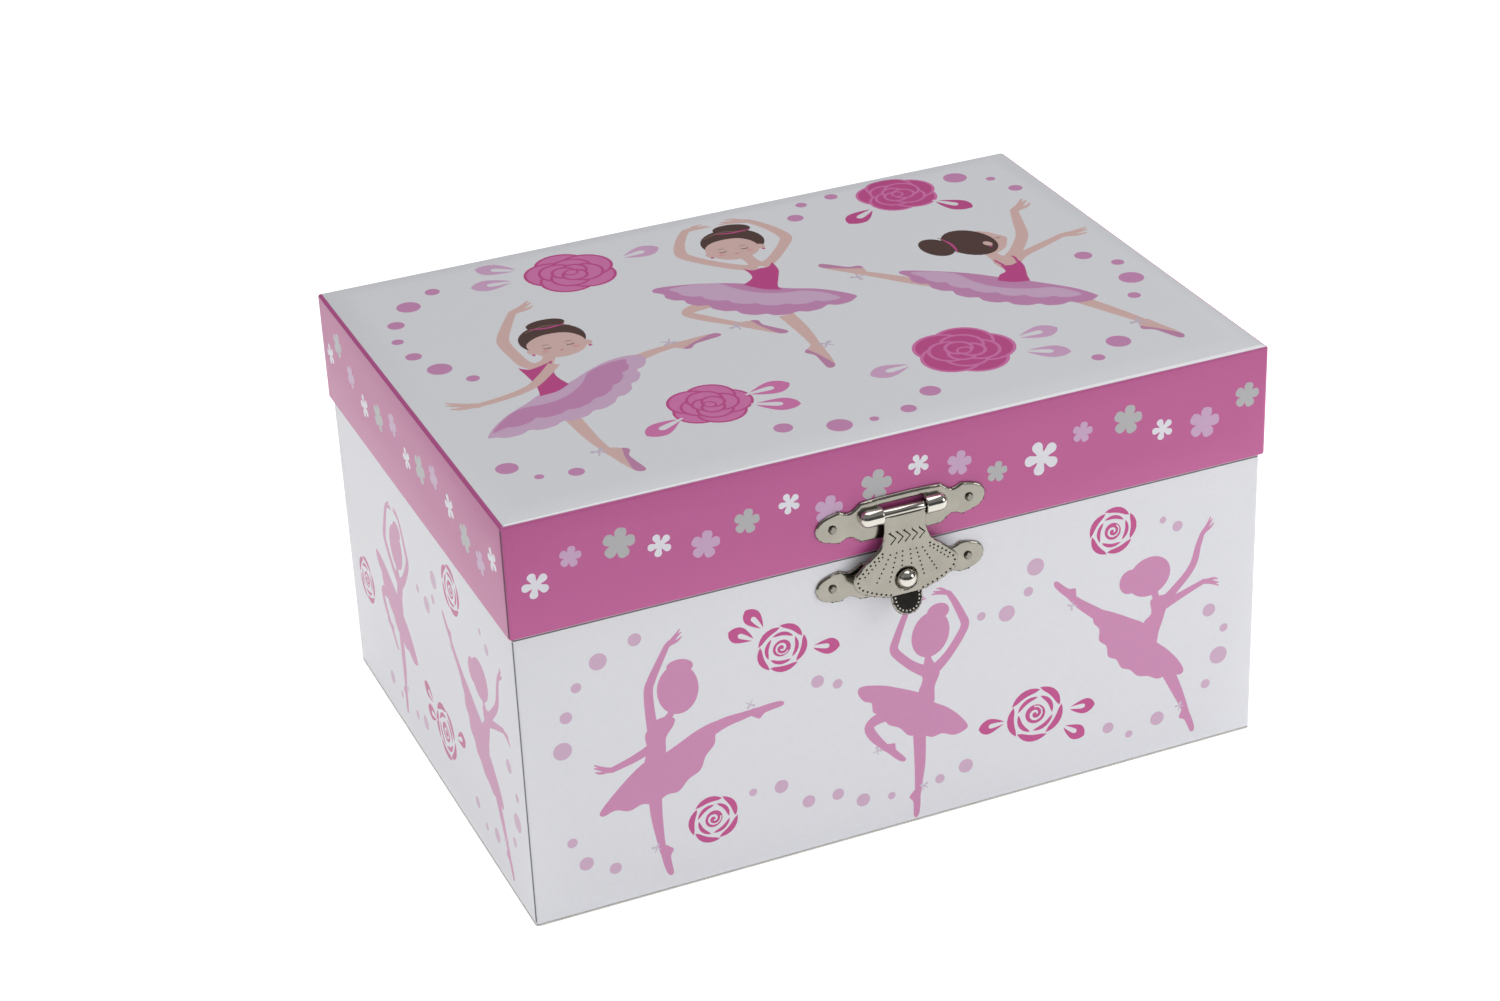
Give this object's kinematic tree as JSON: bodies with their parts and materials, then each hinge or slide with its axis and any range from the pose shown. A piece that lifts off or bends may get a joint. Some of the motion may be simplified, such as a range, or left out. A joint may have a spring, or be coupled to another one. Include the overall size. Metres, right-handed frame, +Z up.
{
  "type": "musical jewellery box",
  "caption": "Paper-covered musical jewellery box with hinged mirrored lid, drop hasp over a ball catch, lined compartments and a turning dancer driven by a wound comb movement.",
  "frame": {"origin": "middle of the case's underside, on the surface that the box stands on", "axes": "+X to the right along the width, +Y to the back where the hinges and the key are, +Z up"},
  "size_m": [0.15, 0.1247, 0.0835],
  "materials": {
    "printed_body_paper": "satin pearl, printed",
    "printed_top_paper": "satin pearl, printed",
    "printed_band_paper": "satin pearl, printed",
    "base_paper": "matte",
    "case_board": "raw fibreboard",
    "lid_board": "raw fibreboard",
    "case_flock": "flocked card",
    "stage_flock": "flocked card",
    "ring_roll_velvet": "velvet over foam",
    "lid_lining_satin": "satin over card",
    "mirror_glass": "silvered glass",
    "mirror_trim": "moulded",
    "hasp_nickel": "bright nickel plate, stamped",
    "catch_nickel": "bright nickel plate",
    "nail_nickel": "nickel plate",
    "hinge_steel": "nickelled steel",
    "bedplate_steel": "zinc plated",
    "spring_cup_steel": "bright",
    "spring_steel": "blued",
    "comb_steel": "ground",
    "screw_steel": "nickel plate",
    "key_nickel": "nickel plate",
    "gear_brass": "cut brass",
    "cylinder_brass": "turned brass with pins",
    "arbor_steel": "turned",
    "fan_plastic": "moulded",
    "dancer_metal": "spring wire",
    "dancer_base_plastic": "moulded",
    "dancer_plastic": "moulded and painted",
    "tulle": "gathered net",
    "stop_wire_steel": "bright wire"
  },
  "bodies": {
    "case": {"base_board": "case_board", "front_wall": "case_board", "back_wall": "case_board", "left_wall": "case_board", "right_wall": "case_board", "case_paper": "printed_body_paper", "base_paper": "base_paper", "wall_linings": "case_flock", "floor_lining": "case_flock", "stage_platform": "stage_flock", "stage_front_panel": "stage_flock", "compartment_divider": "stage_flock", "ring_shelf": "stage_flock", "ring_rolls": "ring_roll_velvet", "catch_plate": "catch_nickel", "catch_ball": "catch_nickel", "case_nails": "nail_nickel", "hinge_case_leaves": "hinge_steel", "hinge_pins": "hinge_steel", "movement_bedplate": "bedplate_steel", "spring_housing": "spring_cup_steel", "mainspring": "spring_steel", "comb": "comb_steel", "plate_screws": "screw_steel", "governor_frame": "bedplate_steel", "movement_screws": "screw_steel", "key_escutcheon": "key_nickel"},
    "lid": {"lid_top_board": "lid_board", "lid_front_wall": "lid_board", "lid_back_wall": "lid_board", "lid_left_wall": "lid_board", "lid_right_wall": "lid_board", "lid_top_paper": "printed_top_paper", "lid_band_paper": "printed_band_paper", "lid_side_linings": "lid_lining_satin", "lid_lining_panel": "lid_lining_satin", "mirror": "mirror_glass", "mirror_frame": "mirror_trim", "stop_striker": "lid_lining_satin", "hasp_plate": "hasp_nickel", "hasp_pin": "nail_nickel", "lid_nails": "nail_nickel", "hinge_lid_leaves": "hinge_steel"},
    "hasp_flap": {"hasp": "hasp_nickel"},
    "winding_shaft": {"winding_key": "key_nickel", "winding_arbor": "arbor_steel", "main_wheel": "gear_brass"},
    "cylinder_shaft": {"pinned_cylinder": "cylinder_brass", "cylinder_arbor": "arbor_steel", "cylinder_gear": "gear_brass"},
    "dancer_shaft": {"dancer_spindle": "dancer_base_plastic", "dancer_spring": "dancer_metal", "dancer_figure": "dancer_plastic", "dancer_skirt": "tulle"},
    "transfer_shaft": {"transfer_arbor": "arbor_steel", "worm_wheel": "gear_brass"},
    "fan_shaft": {"worm_spindle": "arbor_steel", "air_fan": "fan_plastic"},
    "stop_slider": {"stop_wire": "stop_wire_steel"}
  },
  "joints": [
    {"name": "lid_hinge", "type": "hinge", "parent": "case", "child": "lid", "pos_m": [0, 0.05485, 0.0605], "axis": [-1, 0, 0], "range_deg": [0, 105]},
    {"name": "hasp_pivot", "type": "hinge", "parent": "lid", "child": "hasp_flap", "pos_m": [-0.00045, -0.05465, 0.0682], "axis": [-1, 0, 0], "range_deg": [0, 150]},
    {"name": "winding_turn", "type": "hinge", "parent": "case", "child": "winding_shaft", "pos_m": [0, 0.0528, 0.0212], "axis": [0, 1, 0], "continuous": true},
    {"name": "cylinder_turn", "type": "hinge", "parent": "case", "child": "cylinder_shaft", "pos_m": [0.0213, 0.03155, 0.0212], "axis": [1, 0, 0], "continuous": true},
    {"name": "dancer_turn", "type": "hinge", "parent": "case", "child": "dancer_shaft", "pos_m": [0, 0.03155, 0.0415], "axis": [0, 0, 1], "continuous": true},
    {"name": "transfer_turn", "type": "hinge", "parent": "case", "child": "transfer_shaft", "pos_m": [0.035, 0.0356, 0.0282], "axis": [1, 0, 0], "continuous": true},
    {"name": "fan_turn", "type": "hinge", "parent": "case", "child": "fan_shaft", "pos_m": [0.035, 0.0356, 0.0331], "axis": [0, 1, 0], "continuous": true},
    {"name": "stop_slide", "type": "slide", "parent": "case", "child": "stop_slider", "axis": [0, 0, 1], "range_m": [0, 0.004]}
  ],
  "couplings": [
    {"joint": "cylinder_turn", "follows": "winding_turn", "ratio": -2.8571},
    {"joint": "dancer_turn", "follows": "winding_turn", "ratio": -2.8571},
    {"joint": "transfer_turn", "follows": "winding_turn", "ratio": 12.571},
    {"joint": "fan_turn", "follows": "winding_turn", "ratio": 251.43},
    {"joint": "stop_slide", "follows": "lid_hinge", "m_per_rad": 0.0021805}
  ]
}
